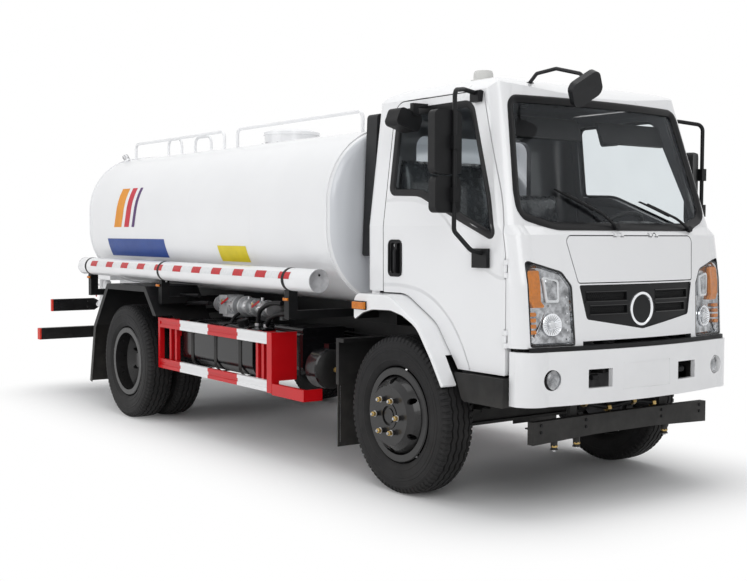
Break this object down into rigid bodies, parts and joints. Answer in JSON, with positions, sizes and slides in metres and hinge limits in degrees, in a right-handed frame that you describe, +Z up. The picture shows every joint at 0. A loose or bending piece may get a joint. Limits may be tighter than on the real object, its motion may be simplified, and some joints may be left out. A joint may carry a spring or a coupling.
{
  "type": "water tanker truck",
  "caption": "White two-axle cab-over water tanker truck with long tank, hose lockers, side guards, spray bars, twin rear wheels and tilting cab.",
  "frame": {"origin": "on the ground under the middle of the truck's overall length, on its centre line", "axes": "+X toward the cab's front, +Y to the truck's left, +Z up"},
  "size_m": [6.893, 2.4064, 2.606],
  "materials": {
    "cab_white": "gloss",
    "tank_white": "gloss",
    "chassis_black": "satin",
    "wheel_black": "satin",
    "guard_red": "gloss",
    "pump_silver": "satin",
    "engine_grey": "matte",
    "black_plastic": "matte",
    "window_glass": "gloss",
    "lamp_clear": "gloss",
    "seat_cover": "matte",
    "tyre_rubber": "matte"
  },
  "bodies": {
    "chassis": {"frame": "chassis_black", "front_brackets": "chassis_black", "front_axle": "chassis_black", "rear_axle": "chassis_black", "powertrain": "engine_grey", "side_tanks_and_boxes": "chassis_black", "water_pump": "pump_silver", "front_bumper": "cab_white", "front_spray_bar": "chassis_black", "mudguards": "black_plastic", "side_guards": "guard_red", "rear_bars": "chassis_black", "rear_spray_rig": "tank_white", "tank": "tank_white", "tank_rails": "tank_white", "side_tubes": "tank_white"},
    "cab": {"cab_rear_wall": "cab_white", "cab_roof": "cab_white", "cab_floor": "black_plastic", "cab_front": "cab_white", "cab_glass": "window_glass", "cab_interior": "seat_cover", "grille": "black_plastic", "headlamps": "lamp_clear", "arch_flares": "cab_white", "cab_fittings": "black_plastic"},
    "door_assembly_right": {"door_right": "cab_white", "door_glass_right": "window_glass", "door_mirrors_right": "black_plastic"},
    "steering_knuckle_right": {"knuckle_right": "chassis_black"},
    "front_road_wheel_right": {"front_tyre_right": "tyre_rubber", "front_wheel_right": "wheel_black"},
    "rear_twin_wheels_right": {"rear_tyres_right": "tyre_rubber", "rear_wheel_right": "wheel_black"},
    "door_assembly_left": {"door_left": "cab_white", "door_glass_left": "window_glass", "door_mirrors_left": "black_plastic"},
    "steering_knuckle_left": {"knuckle_left": "chassis_black"},
    "front_road_wheel_left": {"front_tyre_left": "tyre_rubber", "front_wheel_left": "wheel_black"},
    "rear_twin_wheels_left": {"rear_tyres_left": "tyre_rubber", "rear_wheel_left": "wheel_black"},
    "track_rod": {"tie_rod": "chassis_black"},
    "steering_wheel_assembly": {"steering_wheel": "black_plastic"},
    "service_flap": {"front_flap": "cab_white"},
    "tank_lid": {"manhole_lid": "tank_white"}
  },
  "joints": [
    {"name": "cab_tilt", "type": "hinge", "parent": "chassis", "child": "cab", "pos_m": [3.3745, 0, 0.941], "axis": [0, 1, 0], "range_deg": [0, 45]},
    {"name": "door_right_swing", "type": "hinge", "parent": "cab", "child": "door_assembly_right", "pos_m": [3.1975, -0.897, 1.205], "axis": [0, 0, 1], "range_deg": [0, 70]},
    {"name": "steer_right", "type": "hinge", "parent": "chassis", "child": "steering_knuckle_right", "pos_m": [2.3535, -0.76, 0.487], "axis": [0, 0, 1], "range_deg": [-30, 30]},
    {"name": "front_wheel_right_spin", "type": "hinge", "parent": "steering_knuckle_right", "child": "front_road_wheel_right", "pos_m": [2.3535, -0.9025, 0.487], "axis": [0, 1, 0], "continuous": true},
    {"name": "rear_wheels_right_spin", "type": "hinge", "parent": "chassis", "child": "rear_twin_wheels_right", "pos_m": [-1.2565, -0.9465, 0.487], "axis": [0, 1, 0], "continuous": true},
    {"name": "door_left_swing", "type": "hinge", "parent": "cab", "child": "door_assembly_left", "pos_m": [3.1975, 0.897, 1.205], "axis": [0, 0, -1], "range_deg": [0, 70]},
    {"name": "steer_left", "type": "hinge", "parent": "chassis", "child": "steering_knuckle_left", "pos_m": [2.3535, 0.76, 0.487], "axis": [0, 0, 1], "range_deg": [-30, 30]},
    {"name": "front_wheel_left_spin", "type": "hinge", "parent": "steering_knuckle_left", "child": "front_road_wheel_left", "pos_m": [2.3535, 0.9025, 0.487], "axis": [0, 1, 0], "continuous": true},
    {"name": "rear_wheels_left_spin", "type": "hinge", "parent": "chassis", "child": "rear_twin_wheels_left", "pos_m": [-1.2565, 0.9465, 0.487], "axis": [0, 1, 0], "continuous": true},
    {"name": "tie_rod_pivot", "type": "hinge", "parent": "steering_knuckle_right", "child": "track_rod", "pos_m": [2.1635, -0.76, 0.417], "axis": [0, 0, 1], "range_deg": [-30, 30]},
    {"name": "steering_wheel_turn", "type": "hinge", "parent": "cab", "child": "steering_wheel_assembly", "pos_m": [2.7955, 0.4, 1.6], "axis": [-0.6157, 0, 0.788], "range_deg": [-540, 540]},
    {"name": "front_flap_lift", "type": "hinge", "parent": "cab", "child": "service_flap", "pos_m": [3.3425, 0, 1.589], "axis": [0, -1, 0], "range_deg": [0, 70]},
    {"name": "manhole_lid_open", "type": "hinge", "parent": "chassis", "child": "tank_lid", "pos_m": [-0.76252, 0, 2.446], "axis": [0, -1, 0], "range_deg": [0, 110]}
  ],
  "couplings": [
    {"joint": "steer_left", "follows": "steer_right", "ratio": 1},
    {"joint": "tie_rod_pivot", "follows": "steer_right", "ratio": -1},
    {"joint": "steering_wheel_turn", "follows": "steer_right", "ratio": 18}
  ]
}
